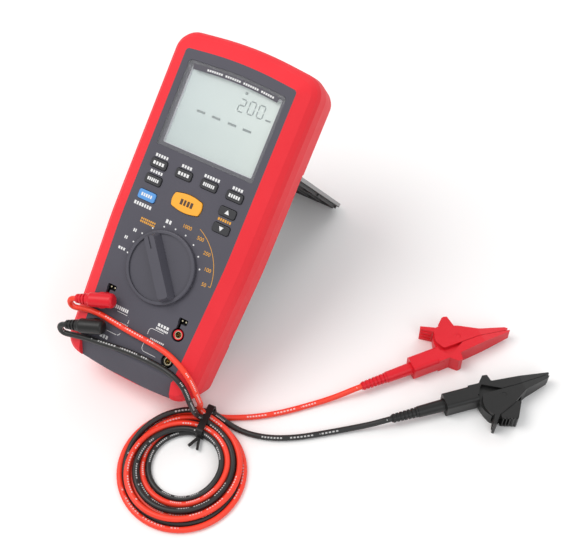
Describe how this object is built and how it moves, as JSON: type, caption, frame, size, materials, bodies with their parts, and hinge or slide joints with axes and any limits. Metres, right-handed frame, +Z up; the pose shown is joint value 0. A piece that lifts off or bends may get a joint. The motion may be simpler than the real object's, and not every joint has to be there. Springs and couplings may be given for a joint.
{
  "type": "insulation resistance tester",
  "caption": "Handheld insulation resistance tester leaning back on its opened tilt stand, with a rotary switch, keys, display and two coiled test leads ending in crocodile clips.",
  "frame": {"origin": "middle of the leaning meter's footprint on the surface it stands on, measured without the leads and clips", "axes": "+Z up from the surface, +X towards the meter's right side seen from its front, -Y towards the side that the panel faces"},
  "size_m": [0.2867, 0.2803, 0.1693],
  "materials": {
    "black_key": "satin",
    "black_lead_plastic": "satin",
    "black_plastic": "fine texture",
    "black_silicone": "smooth",
    "blue_key": "satin",
    "board_laminate": "solder mask",
    "cell_jacket": "printed sleeve",
    "clear_window": "clear",
    "display_glass": "smooth",
    "foot_rubber": "matt",
    "fuse_glass": "clear",
    "grey_silicone": "matt",
    "knob_plastic": "satin",
    "orange_key": "satin",
    "panel_plastic": "fine texture",
    "plated_brass": "nickel plated",
    "red_plastic": "satin",
    "red_rubber": "matt",
    "red_silicone": "smooth",
    "stand_plastic": "fine texture",
    "tie_plastic": "satin",
    "wound_core": "taped",
    "zinc_steel": "plated"
  },
  "bodies": {
    "meter": {"battery_cells": "cell_jacket", "battery_contacts": "zinc_steel", "battery_cover": "black_plastic", "battery_cover_screws": "zinc_steel", "black_clip_body": "black_lead_plastic", "black_clip_lead": "black_silicone", "black_clip_pin": "black_lead_plastic", "black_clip_spring": "zinc_steel", "black_jack_posts": "black_plastic", "black_lead_end": "black_lead_plastic", "black_panel_lead": "black_silicone", "black_plug_body": "black_lead_plastic", "black_plug_pin": "plated_brass", "board_screws": "zinc_steel", "buzzer": "black_plastic", "case_screws": "zinc_steel", "coil_tie": "tie_plastic", "display_window": "clear_window", "front_case": "panel_plastic", "front_jacket": "red_rubber", "fuse": "fuse_glass", "fuse_clips": "zinc_steel", "high_voltage_transformer": "wound_core", "jack_blocks": "black_plastic", "jack_sleeves": "plated_brass", "keypad_mat": "grey_silicone", "lcd_frame": "black_plastic", "lcd_panel": "display_glass", "lead_coil": "black_silicone", "main_board": "board_laminate", "rear_case": "black_plastic", "rear_jacket": "red_rubber", "red_clip_body": "red_plastic", "red_clip_lead": "red_silicone", "red_clip_pin": "red_plastic", "red_clip_spring": "zinc_steel", "red_jack_posts": "red_plastic", "red_lead_end": "red_plastic", "red_panel_lead": "red_silicone", "red_plug_body": "red_plastic", "red_plug_pin": "plated_brass", "remote_contacts": "plated_brass", "selector_housing": "black_plastic", "stand_hinge_pins": "zinc_steel"},
    "stand": {"tilt_stand": "stand_plastic", "stand_foot": "foot_rubber"},
    "knob": {"rotary_knob": "knob_plastic", "selector_shaft": "zinc_steel"},
    "red_lever": {"red_clip_lever": "red_plastic"},
    "black_lever": {"black_clip_lever": "black_lead_plastic"},
    "save_key": {"save_key": "black_key"},
    "compare_key": {"compare_key": "black_key"},
    "ratio_key": {"ratio_key": "black_key"},
    "timer_key": {"timer_key": "black_key"},
    "recall_key": {"recall_key": "black_key"},
    "function_key": {"function_key": "blue_key"},
    "up_key": {"up_key": "black_key"},
    "down_key": {"down_key": "black_key"},
    "test_key": {"test_key": "orange_key"}
  },
  "joints": [
    {"name": "stand_hinge", "type": "hinge", "parent": "meter", "child": "stand", "pos_m": [0, 0.04091, 0.09833], "axis": [1, 0, 0], "range_deg": [-84.5, 0]},
    {"name": "knob_turn", "type": "hinge", "parent": "meter", "child": "knob", "pos_m": [0, -0.05249, 0.08393], "axis": [0, -0.6219, 0.7831], "range_deg": [-106.8, 53.4]},
    {"name": "red_lever_hinge", "type": "hinge", "parent": "meter", "child": "red_lever", "pos_m": [0.1704, 0.0364, 0.0065], "axis": [0, 0, 1], "range_deg": [0, 28], "stiffness_Nm_per_rad": 0.2, "springref_deg": -22.92},
    {"name": "black_lever_hinge", "type": "hinge", "parent": "meter", "child": "black_lever", "pos_m": [0.215, 0.0101, 0.0065], "axis": [0, 0, -1], "range_deg": [0, 28], "stiffness_Nm_per_rad": 0.2, "springref_deg": -22.92},
    {"name": "save_key_press", "type": "slide", "parent": "meter", "child": "save_key", "axis": [0, 0.6219, -0.7831], "range_m": [0, 0.001], "stiffness_N_per_m": 1500},
    {"name": "compare_key_press", "type": "slide", "parent": "meter", "child": "compare_key", "axis": [0, 0.6219, -0.7831], "range_m": [0, 0.001], "stiffness_N_per_m": 1500},
    {"name": "ratio_key_press", "type": "slide", "parent": "meter", "child": "ratio_key", "axis": [0, 0.6219, -0.7831], "range_m": [0, 0.001], "stiffness_N_per_m": 1500},
    {"name": "timer_key_press", "type": "slide", "parent": "meter", "child": "timer_key", "axis": [0, 0.6219, -0.7831], "range_m": [0, 0.001], "stiffness_N_per_m": 1500},
    {"name": "recall_key_press", "type": "slide", "parent": "meter", "child": "recall_key", "axis": [0, 0.6219, -0.7831], "range_m": [0, 0.001], "stiffness_N_per_m": 1500},
    {"name": "function_key_press", "type": "slide", "parent": "meter", "child": "function_key", "axis": [0, 0.6219, -0.7831], "range_m": [0, 0.001], "stiffness_N_per_m": 1500},
    {"name": "up_key_press", "type": "slide", "parent": "meter", "child": "up_key", "axis": [0, 0.6219, -0.7831], "range_m": [0, 0.001], "stiffness_N_per_m": 1500},
    {"name": "down_key_press", "type": "slide", "parent": "meter", "child": "down_key", "axis": [0, 0.6219, -0.7831], "range_m": [0, 0.001], "stiffness_N_per_m": 1500},
    {"name": "test_key_press", "type": "slide", "parent": "meter", "child": "test_key", "axis": [0, 0.6219, -0.7831], "range_m": [0, 0.001], "stiffness_N_per_m": 1500}
  ]
}
